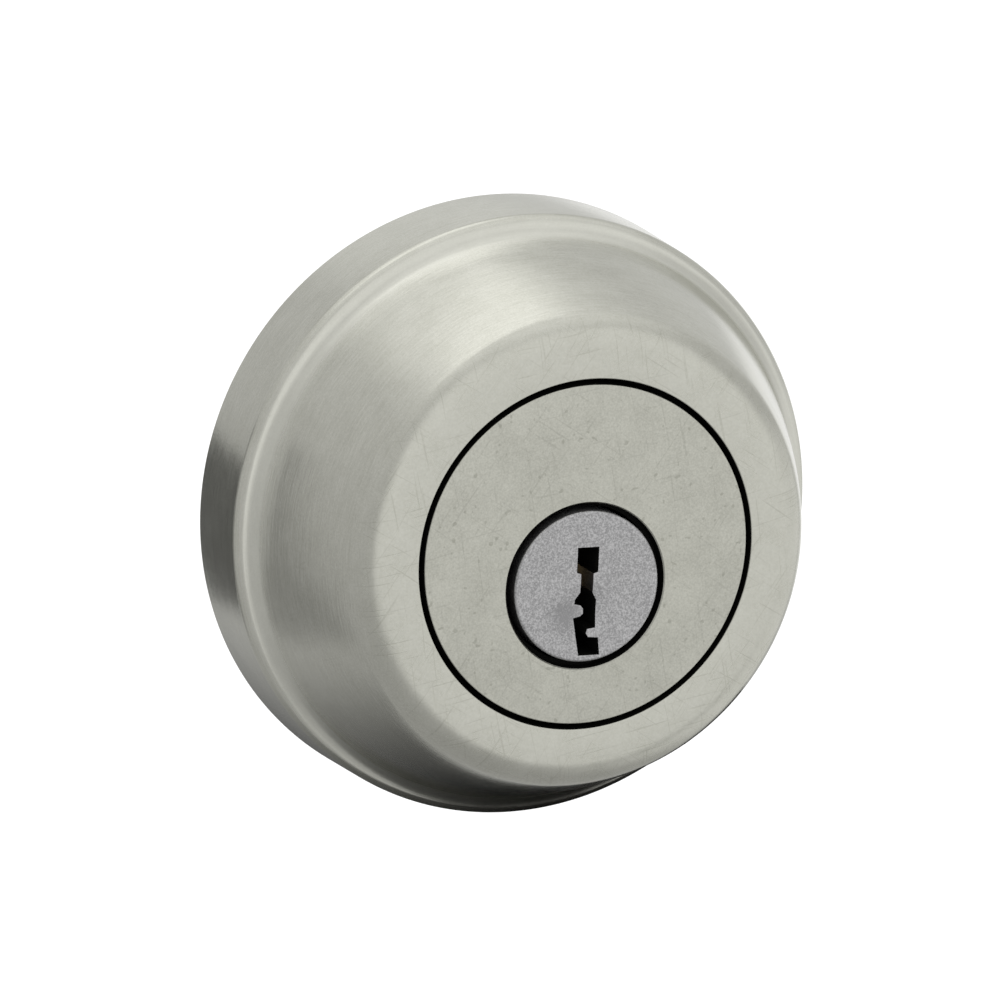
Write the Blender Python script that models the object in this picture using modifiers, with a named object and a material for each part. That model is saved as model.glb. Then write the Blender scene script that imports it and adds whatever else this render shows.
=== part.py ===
"""Outside half of a single-cylinder deadbolt door lock, with its keyed cylinder.

World axes: +X to the right, +Z up, and the front faces -Y. The door's outside face is the
plane y = 0, and the origin is the centre of the door's bore on that face.

Every piece hangs on one empty that is turned a quarter turn about X. In that empty's frame
x is right, y is up and z is the height in front of the door, so each turned piece stands on
the door like a pot on a table. All sizes are in metres, written as millimetres times MM.
"""

import math

import bmesh
import bpy

MM = 0.001
GAP = 0.3 * MM  # between pieces that touch

# Door and collar
DOOR_BORE_RADIUS = 27.0 * MM  # the usual 54 mm (2 1/8 in) bore
RIM_RADIUS = 33.3 * MM
FACE_HEIGHT = 26.8 * MM
COLLAR_HOLE_RADIUS = 18.74 * MM
COLLAR_LEDGE_RADIUS = 16.4 * MM
COLLAR_WALL = 1.8 * MM
LEDGE_TOP = 23.3 * MM
LEDGE_BOTTOM = 21.3 * MM

# Guard cup and seat plate
GUARD_WALL = 2.0 * MM
GUARD_TOP = LEDGE_BOTTOM - GAP
GUARD_HOLE_RADIUS = 16.7 * MM
PLATE_THICKNESS = 1.5 * MM
PLATE_RADIUS = 30.6 * MM
PLATE_LIP_RADIUS = DOOR_BORE_RADIUS - 0.4 * MM
PLATE_LIP_WALL = 1.5 * MM
PLATE_LIP_DEPTH = 3.0 * MM

# Cylinder body
DISC_RADIUS = 18.13 * MM
DISC_BOTTOM = LEDGE_TOP + 0.5 * MM
HUB_RADIUS = 15.9 * MM
HUB_BOTTOM = 19.0 * MM
BARREL_RADIUS = 11.2 * MM
BARREL_BOTTOM = 2.6 * MM
RIDGE_HALF_WIDTH = 4.0 * MM
RIDGE_TOP = 14.6 * MM
WING_REACH = 24.0 * MM
WING_HALF_HEIGHT = 5.0 * MM
WING_TOP = 12.0 * MM
WING_BOTTOM = 8.0 * MM

# Plug
PLUG_Y = -3.3 * MM  # the plug's axis lies below the collar's
PLUG_RADIUS = 8.1 * MM
PLUG_TOP = FACE_HEIGHT + 0.3 * MM
PLUG_BOTTOM = -2.4 * MM
PLUG_BORE_RADIUS = PLUG_RADIUS + GAP
PLUG_MOUTH_RADIUS = 8.9 * MM
PLUG_MOUTH_DEPTH = 1.6 * MM
KEYWAY_BOTTOM = 3.4 * MM
CLIP_GROOVE_RADIUS = 7.0 * MM
CLIP_TOP = 2.0 * MM
CLIP_THICKNESS = 0.8 * MM
CLIP_RADIUS = 10.0 * MM

# Half outline of the keyway: (x, y) from the plug's axis. The left side runs down and the
# right side runs back up, with one ward reaching in from each side.
KEYWAY_LEFT_MM = (
    (-1.20, 4.24), (-1.20, 1.55), (-0.70, 1.40), (-0.68, -0.60), (-1.20, -1.35),
    (-1.25, -1.85), (-0.50, -2.05), (-0.20, -2.40), (-0.20, -2.95), (-0.50, -3.20),
    (-1.31, -3.36), (-1.00, -5.50), (-0.62, -7.38),
)
KEYWAY_RIGHT_MM = (
    (1.76, -7.38), (1.52, -5.52), (0.40, -5.42), (0.15, -5.00), (0.30, -4.58),
    (1.20, -4.47), (1.19, -1.50), (0.72, -0.65), (0.70, 1.40), (1.20, 1.55), (1.20, 4.24),
)

# Pin stacks
PIN_COUNT = 5
PIN_PITCH = 3.81 * MM
FIRST_PIN_HEIGHT = 20.5 * MM
PIN_RADIUS = 1.45 * MM
CHAMBER_RADIUS = 1.6 * MM
SHEAR_Y = PLUG_Y + PLUG_RADIUS
PIN_TIP_Y = PLUG_Y - 3.4 * MM
BOTTOM_PIN_LENGTHS_MM = (8.6, 7.4, 9.2, 8.0, 9.6)
DRIVER_LENGTH = 4.1 * MM
COVER_HALF_WIDTH = 2.2 * MM
COVER_THICKNESS = 0.7 * MM
SPRING_RADIUS = 1.05 * MM
SPRING_WIRE_RADIUS = 0.2 * MM
SPRING_TURNS = 4
SPRING_POINTS_PER_TURN = 9

# Drill pins, posts and torque blade
DRILL_PIN_RADIUS = 1.5 * MM
DRILL_PIN_LENGTH = 5.0 * MM
DRILL_PIN_X = 13.2 * MM
POST_SPACING = 38.0 * MM
POST_RADIUS = 4.25 * MM
POST_END = -14.0 * MM
POST_STUB_RADIUS = 2.7 * MM
SCREW_HOLE_RADIUS = 1.75 * MM
BLADE_WIDTH = 6.0 * MM
BLADE_ROOT_WIDTH = 7.0 * MM
BLADE_THICKNESS = 2.4 * MM
BLADE_END = -45.0 * MM
TAIL_RECESS_RADIUS = 4.1 * MM
TAIL_RECESS_TOP = 2.4 * MM
WASHER_RADIUS = 6.6 * MM
WASHER_HOLE_RADIUS = 3.6 * MM
WASHER_THICKNESS = 0.8 * MM

# Facets round a full circle
FINE_STEPS = 80
ROUND_STEPS = 48
SMALL_STEPS = 20


def clear_scene():
    """Remove whatever the scene starts with."""
    for found in list(bpy.data.objects):
        bpy.data.objects.remove(found, do_unlink=True)


def make_collection(name):
    """Return a new collection linked to the scene."""
    made = bpy.data.collections.new(name)
    bpy.context.scene.collection.children.link(made)
    return made


def make_material(name, colour, roughness, metallic=1.0):
    """Return a Principled BSDF material."""
    made = bpy.data.materials.new(name)
    made.use_nodes = True
    shader = made.node_tree.nodes["Principled BSDF"]
    shader.inputs["Base Color"].default_value = (*colour, 1.0)
    shader.inputs["Roughness"].default_value = roughness
    shader.inputs["Metallic"].default_value = metallic
    return made


def add_object(name, data, at=(0.0, 0.0)):
    """Add an object to the lock, standing on the door at a point of its face."""
    made = bpy.data.objects.new(name, data)
    parts.objects.link(made)
    made.parent = lock_frame
    made.location = (at[0], at[1], 0.0)
    return made


def finish_mesh(mesh):
    """Shade round surfaces smooth and keep the real edges sharp."""
    mesh.shade_smooth()
    mesh.set_sharp_from_angle(angle=math.radians(30))


def cylinder(name, radius, top, bottom, at=(0.0, 0.0), steps=ROUND_STEPS):
    """Return an upright cylinder between two heights."""
    shape = bmesh.new()
    bmesh.ops.create_cone(
        shape, cap_ends=True, segments=steps, radius1=radius, radius2=radius, depth=top - bottom
    )
    bmesh.ops.translate(shape, verts=shape.verts, vec=(0.0, 0.0, (top + bottom) / 2))
    mesh = bpy.data.meshes.new(name)
    shape.to_mesh(mesh)
    shape.free()
    finish_mesh(mesh)
    return add_object(name, mesh, at)


def cross_cylinder(name, radius, low_y, high_y, height, steps=SMALL_STEPS):
    """Return a cylinder that runs up the lock's face, along y, at one height off the door."""
    made = cylinder(name, radius, high_y, low_y, steps=steps)
    made.rotation_euler = (-math.pi / 2, 0.0, 0.0)
    made.location.z = height
    return made


def block(name, x_range, y_range, z_range, at=(0.0, 0.0)):
    """Return a box that spans three ranges."""
    shape = bmesh.new()
    bmesh.ops.create_cube(shape, size=1.0)
    for axis, (low, high) in enumerate((x_range, y_range, z_range)):
        for vertex in shape.verts:
            vertex.co[axis] = vertex.co[axis] * (high - low) + (high + low) / 2
    mesh = bpy.data.meshes.new(name)
    shape.to_mesh(mesh)
    shape.free()
    return add_object(name, mesh, at)


def turned(name, profile, at=(0.0, 0.0), steps=ROUND_STEPS, ring=False):
    """Return a turned piece from (radius, height) points that run down its outer side."""
    edges = [(i, i + 1) for i in range(len(profile) - 1)]
    if ring:
        edges.append((len(profile) - 1, 0))
    mesh = bpy.data.meshes.new(name)
    mesh.from_pydata([(radius, 0.0, height) for radius, height in profile], edges, [])
    made = add_object(name, mesh, at)
    screw = made.modifiers.new("Turn", "SCREW")
    screw.axis = "Z"
    screw.steps = steps
    screw.render_steps = steps
    screw.use_smooth_shade = False
    screw.use_merge_vertices = True
    screw.merge_threshold = 0.01 * MM
    return made


def baked(source):
    """Replace an object by a plain mesh object of the same name and place."""
    graph = bpy.context.evaluated_depsgraph_get()
    mesh = bpy.data.meshes.new_from_object(source.evaluated_get(graph))
    shape = bmesh.new()
    shape.from_mesh(mesh)
    bmesh.ops.remove_doubles(shape, verts=shape.verts, dist=0.001 * MM)
    shape.to_mesh(mesh)
    shape.free()
    name, at = source.name, source.location.copy()
    bpy.data.objects.remove(source, do_unlink=True)
    made = add_object(name, mesh)
    made.location = at
    return made


def outline(name, points, top, bottom, at=(0.0, 0.0)):
    """Return a flat outline raised between two heights."""
    curve = bpy.data.curves.new(name, "CURVE")
    curve.dimensions = "2D"
    curve.fill_mode = "BOTH"
    curve.extrude = (top - bottom) / 2
    spline = curve.splines.new("POLY")
    spline.points.add(len(points) - 1)
    spline.use_cyclic_u = True
    for place, (x, y) in zip(spline.points, points):
        place.co = (x, y, 0.0, 1.0)
    drawn = add_object(name, curve, at)
    drawn.location.z = (top + bottom) / 2
    bpy.context.view_layer.update()
    return baked(drawn)


def arc(centre, radius, start, end, count):
    """Return points along an arc, with its angles in degrees."""
    angles = [math.radians(start + (end - start) * i / (count - 1)) for i in range(count)]
    return [(centre[0] + radius * math.cos(a), centre[1] + radius * math.sin(a)) for a in angles]


def combine(target, tool, operation):
    """Cut a tool from the target, or join it on, and put the tool away with the cutters."""
    modifier = target.modifiers.new(tool.name, "BOOLEAN")
    modifier.operation = operation
    modifier.solver = "EXACT"
    modifier.object = tool
    parts.objects.unlink(tool)
    cutters.objects.link(tool)
    tool.hide_render = True
    tool.display_type = "WIRE"


def cut(target, tool):
    """Cut a tool's shape from the target."""
    combine(target, tool, "DIFFERENCE")


def join(target, tool):
    """Join a tool's shape to the target."""
    combine(target, tool, "UNION")


def collar_outer_profile():
    """Outside of the collar, from the edge of its front hole down to the door."""
    front = arc((22.6, 23.4), 3.4, 90, 17, 7)
    hollow = ((29.98, 13.0), (30.63, 11.51), (30.83, 11.15), (31.10, 10.86), (31.42, 10.63))
    shoulder = ((31.80, 10.46), (32.26, 10.25), (32.56, 9.98), (32.75, 9.67), (32.82, 9.29))
    rim = ((RIM_RADIUS / MM, GAP / MM),)
    return [(r * MM, h * MM) for r, h in (*front, *hollow, *shoulder, *rim)]


def make_tapered_collar():
    """Free-turning trim collar: a thin tapered cup with a shouldered rim and a ledge in front."""
    outer = [(COLLAR_HOLE_RADIUS, FACE_HEIGHT), *collar_outer_profile()]
    inner = [
        (RIM_RADIUS - 2.0 * MM, GAP),
        (30.9 * MM, 7.5 * MM),
        (30.35 * MM - COLLAR_WALL, 11.9 * MM),
        (25.0 * MM, LEDGE_BOTTOM),
        (COLLAR_LEDGE_RADIUS, LEDGE_BOTTOM),
        (COLLAR_LEDGE_RADIUS, LEDGE_TOP),
        (COLLAR_HOLE_RADIUS, LEDGE_TOP),
    ]
    return turned("tapered_collar", outer + inner, steps=FINE_STEPS, ring=True)


def make_guard_cup():
    """Hardened steel cup that backs the collar against wrenching and crushing."""
    outer = [
        (24.3 * MM, GUARD_TOP),
        (27.8 * MM, 12.0 * MM),
        (29.8 * MM, 7.0 * MM),
        (29.8 * MM, PLATE_THICKNESS + GAP),
    ]
    inner = [(radius - GUARD_WALL, height) for radius, height in reversed(outer[1:])]
    inner.append((24.3 * MM - GUARD_WALL, GUARD_TOP - GUARD_WALL))
    flange = [(GUARD_HOLE_RADIUS, GUARD_TOP - GUARD_WALL), (GUARD_HOLE_RADIUS, GUARD_TOP)]
    return turned("guard_cup", outer + inner + flange, ring=True)


def make_seat_plate():
    """Pressed plate that seats on the door and centres the lock in the door's bore."""
    lip_inner = PLATE_LIP_RADIUS - PLATE_LIP_WALL
    profile = [
        (0.0, PLATE_THICKNESS),
        (PLATE_RADIUS, PLATE_THICKNESS),
        (PLATE_RADIUS, 0.0),
        (PLATE_LIP_RADIUS, 0.0),
        (PLATE_LIP_RADIUS, -PLATE_LIP_DEPTH),
        (lip_inner, -PLATE_LIP_DEPTH),
        (lip_inner, 0.0),
        (0.0, 0.0),
    ]
    plate = turned("seat_plate", profile)
    hole_radius = CLIP_RADIUS + 0.8 * MM
    cut(plate, cylinder("plate_plug_hole", hole_radius, 5 * MM, -5 * MM, (0.0, PLUG_Y)))
    for side, x in (("left", -POST_SPACING / 2), ("right", POST_SPACING / 2)):
        hole = cylinder(
            f"plate_post_hole_{side}", POST_RADIUS + GAP, 5 * MM, -5 * MM, (x, 0.0), steps=24
        )
        cut(plate, hole)
    return plate


def pin_heights():
    """Height of each pin stack above the door, front to back."""
    return [FIRST_PIN_HEIGHT - i * PIN_PITCH for i in range(PIN_COUNT)]


def make_cylinder_body():
    """Cast housing: face disc, hub, barrel with its pin ridge, and two wings for the posts."""
    at_plug = (0.0, PLUG_Y)
    body = cylinder("cylinder_body", DISC_RADIUS, FACE_HEIGHT, DISC_BOTTOM, steps=FINE_STEPS)
    join(body, cylinder("body_hub", HUB_RADIUS, DISC_BOTTOM + 1 * MM, HUB_BOTTOM))
    join(body, cylinder("body_barrel", BARREL_RADIUS, HUB_BOTTOM + 1 * MM, BARREL_BOTTOM, at_plug))
    ridge_x = (-RIDGE_HALF_WIDTH, RIDGE_HALF_WIDTH)
    join(body, block("body_ridge", ridge_x, (0.0, RIDGE_TOP), (BARREL_BOTTOM, HUB_BOTTOM + 1 * MM)))
    reach = WING_REACH - WING_HALF_HEIGHT
    wing = arc((reach, 0.0), WING_HALF_HEIGHT, -90, 90, 13)
    wing += arc((-reach, 0.0), WING_HALF_HEIGHT, 90, 270, 13)
    join(body, outline("body_wings", wing, WING_TOP, WING_BOTTOM))
    cut(body, cylinder("plug_bore", PLUG_BORE_RADIUS, 30 * MM, -1 * MM, at_plug))
    mouth_bottom = FACE_HEIGHT - PLUG_MOUTH_DEPTH
    cut(body, cylinder("plug_mouth", PLUG_MOUTH_RADIUS, 30 * MM, mouth_bottom, at_plug))
    slot_x = (-COVER_HALF_WIDTH - GAP, COVER_HALF_WIDTH + GAP)
    slot_front = FIRST_PIN_HEIGHT + CHAMBER_RADIUS + 0.5 * MM
    cut(body, block("cover_slot", slot_x, (RIDGE_TOP, 20 * MM), (0.0, slot_front)))
    for number, height in enumerate(pin_heights(), start=1):
        chamber = cross_cylinder(
            f"body_chamber_{number}", CHAMBER_RADIUS, 2 * MM, RIDGE_TOP + 2 * MM, height
        )
        cut(body, chamber)
    for side, x in (("left", -DRILL_PIN_X), ("right", DRILL_PIN_X)):
        top = HUB_BOTTOM + DRILL_PIN_LENGTH + 2 * GAP
        radius = DRILL_PIN_RADIUS + GAP
        hole = cylinder(f"drill_pin_hole_{side}", radius, top, 10 * MM, (x, PLUG_Y), SMALL_STEPS)
        cut(body, hole)
    for side, x in (("left", -POST_SPACING / 2), ("right", POST_SPACING / 2)):
        radius = POST_STUB_RADIUS + GAP
        cut(body, cylinder(f"stub_hole_{side}", radius, 14 * MM, 6 * MM, (x, 0.0), SMALL_STEPS))
    return body


def make_tail_recess():
    """Bow-tie recess in the plug's tail: it leaves the torque blade a quarter turn of free play."""
    at_plug = (0.0, PLUG_Y)
    recess = cylinder(
        "tail_recess", TAIL_RECESS_RADIUS, TAIL_RECESS_TOP, PLUG_BOTTOM - 1 * MM, at_plug, 32
    )
    near = BLADE_THICKNESS / 2 + GAP
    far = TAIL_RECESS_RADIUS + 1 * MM
    heights = (PLUG_BOTTOM - 2 * MM, TAIL_RECESS_TOP + 1 * MM)
    lugs = (
        block("tail_lug_upper", (-far, -near), (near, far), heights, at_plug),
        block("tail_lug_lower", (near, far), (-far, -near), heights, at_plug),
    )
    for lug in lugs:
        cut(recess, lug)
    return recess


def make_plug():
    """Keyed plug with a warded keyway, five pin chambers, a clip groove and a bow-tie tail."""
    at_plug = (0.0, PLUG_Y)
    groove_top = CLIP_TOP + GAP
    groove_bottom = CLIP_TOP - CLIP_THICKNESS - GAP
    edge = 0.35 * MM
    profile = [
        (0.0, PLUG_TOP),
        (PLUG_RADIUS - edge, PLUG_TOP),
        (PLUG_RADIUS, PLUG_TOP - edge),
        (PLUG_RADIUS, groove_top),
        (CLIP_GROOVE_RADIUS, groove_top),
        (CLIP_GROOVE_RADIUS, groove_bottom),
        (PLUG_RADIUS, groove_bottom),
        (PLUG_RADIUS, PLUG_BOTTOM),
        (0.0, PLUG_BOTTOM),
    ]
    plug = turned("plug", profile, at_plug)
    keyway = [(x * MM, y * MM) for x, y in KEYWAY_LEFT_MM + KEYWAY_RIGHT_MM]
    cut(plug, outline("keyway", keyway, 30 * MM, KEYWAY_BOTTOM, at_plug))
    for number, height in enumerate(pin_heights(), start=1):
        floor = PIN_TIP_Y - GAP
        cut(plug, cross_cylinder(f"plug_chamber_{number}", CHAMBER_RADIUS, floor, 9 * MM, height))
    cut(plug, make_tail_recess())
    return plug


def make_plug_clip():
    """Snap ring in the plug's groove: it holds the plug in the barrel."""
    inner = CLIP_GROOVE_RADIUS + GAP
    bottom = CLIP_TOP - CLIP_THICKNESS
    profile = [(CLIP_RADIUS, CLIP_TOP), (CLIP_RADIUS, bottom), (inner, bottom), (inner, CLIP_TOP)]
    clip = turned("plug_clip", profile, (0.0, PLUG_Y), ring=True)
    opening = (-3.0 * MM, 3.0 * MM)
    cut(clip, block("clip_mouth", opening, (-25 * MM, PLUG_Y - 2 * MM), (-5 * MM, 5 * MM)))
    return clip


def make_bottom_pin(number, height, length):
    """Key pin with a cone tip, dropped to the foot of its chamber."""
    tip, shoulder, crown = 0.5 * MM, 0.9 * MM, 0.15 * MM
    profile = [
        (0.0, length),
        (PIN_RADIUS - 2 * crown, length),
        (PIN_RADIUS, length - crown),
        (PIN_RADIUS, shoulder),
        (tip, 0.0),
        (0.0, 0.0),
    ]
    pin = turned(f"bottom_pin_{number}", profile, steps=16)
    pin.rotation_euler = (-math.pi / 2, 0.0, 0.0)
    pin.location = (0.0, PIN_TIP_Y, height)
    return pin


def make_driver_pin(number, height):
    """Driver pin, standing at the shear line."""
    crown = 0.3 * MM
    profile = [
        (0.0, DRIVER_LENGTH),
        (PIN_RADIUS - crown, DRIVER_LENGTH),
        (PIN_RADIUS, DRIVER_LENGTH - crown),
        (PIN_RADIUS, crown),
        (PIN_RADIUS - crown, 0.0),
        (0.0, 0.0),
    ]
    pin = turned(f"driver_pin_{number}", profile, steps=16)
    pin.rotation_euler = (-math.pi / 2, 0.0, 0.0)
    pin.location = (0.0, SHEAR_Y + GAP, height)
    return pin


def make_pin_spring(number, height):
    """Coil spring between a driver pin and the chamber cover."""
    low = SHEAR_Y + DRIVER_LENGTH + 2 * GAP + SPRING_WIRE_RADIUS
    high = RIDGE_TOP - SPRING_WIRE_RADIUS
    count = SPRING_TURNS * SPRING_POINTS_PER_TURN + 1
    curve = bpy.data.curves.new(f"pin_spring_{number}", "CURVE")
    curve.dimensions = "3D"
    curve.bevel_depth = SPRING_WIRE_RADIUS
    curve.bevel_resolution = 2
    curve.use_fill_caps = True
    spline = curve.splines.new("POLY")
    spline.points.add(count - 1)
    for i, place in enumerate(spline.points):
        angle = 2 * math.pi * i / SPRING_POINTS_PER_TURN
        climb = low + (high - low) * i / (count - 1)
        place.co = (SPRING_RADIUS * math.cos(angle), climb, SPRING_RADIUS * math.sin(angle), 1.0)
    spring = add_object(f"pin_spring_{number}", curve)
    spring.location.z = height
    return spring


def make_chamber_cover():
    """Brass strip that closes the five pin chambers from above."""
    front = FIRST_PIN_HEIGHT + CHAMBER_RADIUS + 0.5 * MM - GAP
    back = BARREL_BOTTOM + 0.6 * MM
    low = RIDGE_TOP + GAP
    x_range = (-COVER_HALF_WIDTH, COVER_HALF_WIDTH)
    return block("chamber_cover", x_range, (low, low + COVER_THICKNESS), (back, front))


def make_drill_pin(side, x):
    """Hardened pin in the hub, beside the plug, that stops a drill."""
    bottom = HUB_BOTTOM + GAP
    chamfer = 0.3 * MM
    profile = [
        (0.0, bottom + DRILL_PIN_LENGTH),
        (DRILL_PIN_RADIUS - chamfer, bottom + DRILL_PIN_LENGTH),
        (DRILL_PIN_RADIUS, bottom + DRILL_PIN_LENGTH - chamfer),
        (DRILL_PIN_RADIUS, bottom),
        (0.0, bottom),
    ]
    return turned(f"drill_pin_{side}", profile, (x, PLUG_Y), steps=16)


def make_mounting_post(side, x):
    """Threaded steel post that takes a screw from the inside of the door."""
    collar = WING_BOTTOM - GAP
    chamfer = 0.5 * MM
    profile = [
        (0.0, WING_TOP - GAP),
        (POST_STUB_RADIUS, WING_TOP - GAP),
        (POST_STUB_RADIUS, collar),
        (POST_RADIUS, collar),
        (POST_RADIUS, POST_END + chamfer),
        (POST_RADIUS - chamfer, POST_END),
        (SCREW_HOLE_RADIUS + chamfer, POST_END),
        (SCREW_HOLE_RADIUS, POST_END + chamfer),
        (SCREW_HOLE_RADIUS, 4 * MM),
        (0.0, 5 * MM),
    ]
    return turned(f"mounting_post_{side}", profile, (x, 0.0), steps=24)


def blade_outline(width):
    """Half-round section of the torque blade, its wide side upright and its back flat."""
    half = BLADE_THICKNESS / 2
    rise = BLADE_THICKNESS
    radius = (width * width / 4 + rise * rise) / (2 * rise)
    spread = math.degrees(math.asin(width / 2 / radius))
    return arc((half - radius, 0.0), radius, -spread, spread, 9)


def make_torque_blade():
    """Half-round blade that the plug turns, and that turns the bolt and the inside half."""
    at_plug = (0.0, PLUG_Y)
    shoulder = PLUG_BOTTOM
    top = TAIL_RECESS_TOP - GAP
    blade = outline("torque_blade", blade_outline(BLADE_ROOT_WIDTH), top, shoulder, at_plug)
    shank_top = shoulder + 1 * MM
    join(blade, outline("blade_shank", blade_outline(BLADE_WIDTH), shank_top, BLADE_END, at_plug))
    return blade


def make_blade_washer():
    """Washer staked to the plug's tail: it keeps the blade's shoulders in their recess."""
    top = PLUG_BOTTOM - GAP
    bottom = top - WASHER_THICKNESS
    profile = [
        (WASHER_RADIUS, top),
        (WASHER_RADIUS, bottom),
        (WASHER_HOLE_RADIUS, bottom),
        (WASHER_HOLE_RADIUS, top),
    ]
    return turned("blade_washer", profile, (0.0, PLUG_Y), ring=True)


def dress(made, material):
    """Give a piece its material."""
    made.data.materials.clear()
    made.data.materials.append(material)


clear_scene()
parts = make_collection("deadbolt_door_lock")
cutters = make_collection("cutters")
lock_frame = bpy.data.objects.new("lock_frame", None)
lock_frame.rotation_euler = (math.pi / 2, 0.0, 0.0)
parts.objects.link(lock_frame)

satin_nickel = make_material("satin_nickel", (0.62, 0.61, 0.57), 0.34)
plug_metal = make_material("plug_metal", (0.50, 0.53, 0.56), 0.48)
hard_steel = make_material("hard_steel", (0.40, 0.41, 0.43), 0.40)
zinc_steel = make_material("zinc_plated_steel", (0.68, 0.69, 0.71), 0.35)
brass = make_material("brass", (0.72, 0.55, 0.28), 0.32)
spring_steel = make_material("spring_steel", (0.52, 0.52, 0.54), 0.30)

dress(make_tapered_collar(), satin_nickel)
dress(make_cylinder_body(), satin_nickel)
dress(make_plug(), plug_metal)
dress(make_guard_cup(), hard_steel)
dress(make_seat_plate(), zinc_steel)
dress(make_plug_clip(), spring_steel)
dress(make_chamber_cover(), brass)
dress(make_torque_blade(), zinc_steel)
dress(make_blade_washer(), zinc_steel)
for stack, (stack_height, pin_length) in enumerate(
    zip(pin_heights(), BOTTOM_PIN_LENGTHS_MM), start=1
):
    dress(make_bottom_pin(stack, stack_height, pin_length * MM), brass)
    dress(make_driver_pin(stack, stack_height), brass)
    dress(make_pin_spring(stack, stack_height), spring_steel)
for hand, sign in (("left", -1), ("right", 1)):
    dress(make_drill_pin(hand, sign * DRILL_PIN_X), hard_steel)
    dress(make_mounting_post(hand, sign * POST_SPACING / 2), zinc_steel)
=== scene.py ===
"""Looks of a deadbolt's outside keyed half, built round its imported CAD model.

All sizes are in metres in the model's own frame: +X right, +Z up, the front faces -Y, and the
door's outside face is the plane y = 0. A height is a distance in front of the door, so a point at
height h lies at y = -h. The lock's axis is the line x = z = 0, and the plug has an axis of its own
below it.
"""

from __future__ import annotations

import logging
import math
from collections.abc import Callable, Sequence
from dataclasses import dataclass, field
from enum import Enum

import bpy
from mathutils import Matrix, Vector

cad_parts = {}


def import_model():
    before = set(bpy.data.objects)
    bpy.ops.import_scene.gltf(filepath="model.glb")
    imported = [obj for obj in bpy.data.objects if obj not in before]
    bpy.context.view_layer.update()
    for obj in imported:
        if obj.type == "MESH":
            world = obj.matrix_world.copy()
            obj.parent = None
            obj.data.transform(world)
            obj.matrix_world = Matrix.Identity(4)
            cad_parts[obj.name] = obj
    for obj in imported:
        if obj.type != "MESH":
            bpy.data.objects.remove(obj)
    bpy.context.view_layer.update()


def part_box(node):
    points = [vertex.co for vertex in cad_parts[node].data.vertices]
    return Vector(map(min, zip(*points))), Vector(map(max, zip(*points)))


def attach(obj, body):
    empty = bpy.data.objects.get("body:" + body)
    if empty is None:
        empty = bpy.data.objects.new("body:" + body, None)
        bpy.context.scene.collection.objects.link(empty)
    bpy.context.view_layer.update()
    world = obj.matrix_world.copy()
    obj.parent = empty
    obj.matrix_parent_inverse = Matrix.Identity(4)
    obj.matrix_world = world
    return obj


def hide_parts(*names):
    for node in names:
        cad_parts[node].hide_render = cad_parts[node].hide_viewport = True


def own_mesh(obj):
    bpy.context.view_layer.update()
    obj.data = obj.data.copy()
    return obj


LOG = logging.getLogger("deadbolt")
MM = 0.001
WELD = 0.0005 * MM
CHAMBERS = 5
CHAMBER_RADIUS = 1.6 * MM
CHAMBER_PITCH = 3.81 * MM
FIRST_CHAMBER = 20.5 * MM
POST_X = 19.0 * MM
DRILL_PIN_X = 13.2 * MM

Point = tuple[float, float]
Colour = tuple[float, float, float, float]
Number = float | int


class Axis(Enum):
    """Lines that the turned pieces turn about, as the height z of each above the origin."""

    LOCK = 0.0
    PLUG = -3.3 * MM


# --------------------------------------------------------------------------------------------
# Node maths
# --------------------------------------------------------------------------------------------


class Value:
    """One number socket of a node tree. Python's operators on it add Math nodes."""

    def __init__(self, nodes: Nodes, socket: bpy.types.NodeSocket) -> None:
        """Wrap a socket of a tree."""
        self.nodes = nodes
        self.socket = socket

    def __add__(self, other: Value | Number) -> Value:
        """Return self + other."""
        return self.nodes.maths("ADD", self, other)

    def __radd__(self, other: Number) -> Value:
        """Return other + self."""
        return self.nodes.maths("ADD", other, self)

    def __sub__(self, other: Value | Number) -> Value:
        """Return self - other."""
        return self.nodes.maths("SUBTRACT", self, other)

    def __rsub__(self, other: Number) -> Value:
        """Return other - self."""
        return self.nodes.maths("SUBTRACT", other, self)

    def __mul__(self, other: Value | Number) -> Value:
        """Return self * other."""
        return self.nodes.maths("MULTIPLY", self, other)

    def __truediv__(self, other: Value | Number) -> Value:
        """Return self / other."""
        return self.nodes.maths("DIVIDE", self, other)


Term = Value | Number | Sequence[float]


class Nodes:
    """A node tree, with what finishes and the studio's walls both add to theirs."""

    def __init__(self, tree: bpy.types.NodeTree) -> None:
        """Work on a tree."""
        self.tree = tree

    def node(
        self,
        kind: str,
        settings: dict[str, object] | None = None,
        inputs: dict[str | int, Term] | None = None,
    ) -> bpy.types.Node:
        """Add one node.

        Args:
            kind: The node's type, such as ShaderNodeMath.
            settings: Its own properties, set before its sockets.
            inputs: A value or a link for each named or numbered socket.

        Returns:
            The node.
        """
        made = self.tree.nodes.new(kind)
        for key, setting in (settings or {}).items():
            setattr(made, key, setting)
        for key, term in (inputs or {}).items():
            self.feed(made.inputs[key], term)
        return made

    def feed(self, socket: bpy.types.NodeSocket, term: Term) -> None:
        """Link a value to a socket, or set the socket to a constant."""
        if isinstance(term, Value):
            self.tree.links.new(term.socket, socket)
        else:
            socket.default_value = term

    def maths(self, operation: str, *terms: Value | Number) -> Value:
        """Return the result of a Math node."""
        made = self.node("ShaderNodeMath", {"operation": operation}, dict(enumerate(terms)))
        return Value(self, made.outputs[0])

    def map_range(
        self,
        term: Value,
        low: float,
        high: float,
        first: float = 0.0,
        last: float = 1.0,
        kind: str = "SMOOTHSTEP",
    ) -> Value:
        """Return first below low, last above high, and a rise or fall between them."""
        inputs: dict[str | int, Term] = {"Value": term, 1: low, 2: high, 3: first, 4: last}
        made = self.node("ShaderNodeMapRange", {"interpolation_type": kind}, inputs)
        return Value(self, made.outputs["Result"])


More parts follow.
